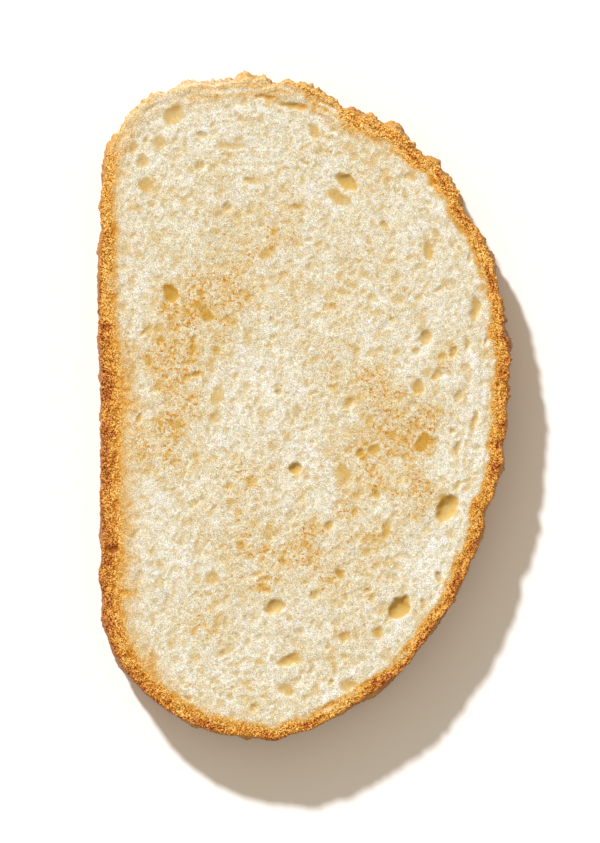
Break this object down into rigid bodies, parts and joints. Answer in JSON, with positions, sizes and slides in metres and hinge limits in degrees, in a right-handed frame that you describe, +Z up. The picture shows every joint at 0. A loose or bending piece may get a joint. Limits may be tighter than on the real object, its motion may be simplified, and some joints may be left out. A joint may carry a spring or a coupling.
{
  "type": "toast slice",
  "caption": "Slice of lightly toasted white bread lying flat: flat-based, domed outline, browned uneven crust and air holes in the crumb.",
  "frame": {"origin": "middle of the cut face that the slice rests on", "axes": "+Z up through the slice's thickness, +Y along the length of the loaf's flat base, +X from the flat base towards the domed top crust"},
  "size_m": [0.0934, 0.15, 0.014],
  "materials": {
    "crumb": "matte"
  },
  "bodies": {
    "root": {"toast_slice": "crumb"}
  },
  "joints": []
}
